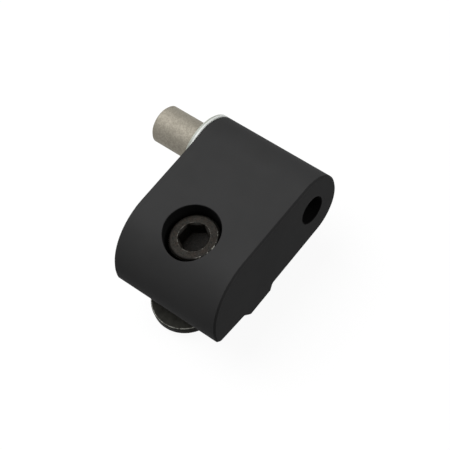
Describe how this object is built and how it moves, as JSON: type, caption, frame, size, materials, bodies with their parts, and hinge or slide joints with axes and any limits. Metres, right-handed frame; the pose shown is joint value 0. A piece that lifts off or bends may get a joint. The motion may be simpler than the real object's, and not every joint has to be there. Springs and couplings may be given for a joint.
{
  "type": "lift-off hinge pin leaf",
  "caption": "Pin leaf of a lift-off hinge for slotted profile: a rounded block with a plain hinge pin, a thrust washer, and a sunk screw that carries an offset slot nut.",
  "frame": {"origin": "on the hinge pin's axis, in the outer face of the thrust washer, where the mating leaf bears", "axes": "+Y out along the free end of the hinge pin, +Z away from the profile that the leaf is screwed to, -X from the pin towards the leaf's rounded nose"},
  "size_m": [0.0462, 0.0444, 0.028],
  "materials": {
    "leaf_anodised": "matte black anodised",
    "pin_steel": "satin, ground",
    "washer_nylon": "natural white, slightly translucent",
    "screw_black_oxide": "black oxide, lightly oiled",
    "nut_steel": "dark zinc, bright on the edge"
  },
  "bodies": {
    "leaf": {"leaf_body": "leaf_anodised", "hinge_pin": "pin_steel"},
    "washer": {"thrust_washer": "washer_nylon"},
    "screw": {"mounting_screw": "screw_black_oxide"},
    "nut": {"slot_nut": "nut_steel"}
  },
  "joints": [
    {"name": "washer_spin", "type": "hinge", "parent": "leaf", "child": "washer", "pos_m": [0, 0, 0], "axis": [0, 1, 0], "continuous": true},
    {"name": "screw_turn", "type": "hinge", "parent": "leaf", "child": "screw", "pos_m": [-0.0222, -0.01623, 0], "axis": [0, 0, -1], "range_deg": [-900, 860]},
    {"name": "nut_travel", "type": "slide", "parent": "leaf", "child": "nut", "axis": [0, 0, 1], "range_m": [-0.00353, 0.00338]}
  ],
  "couplings": [
    {"joint": "nut_travel", "follows": "screw_turn", "m_per_rad": 0.00022458}
  ]
}
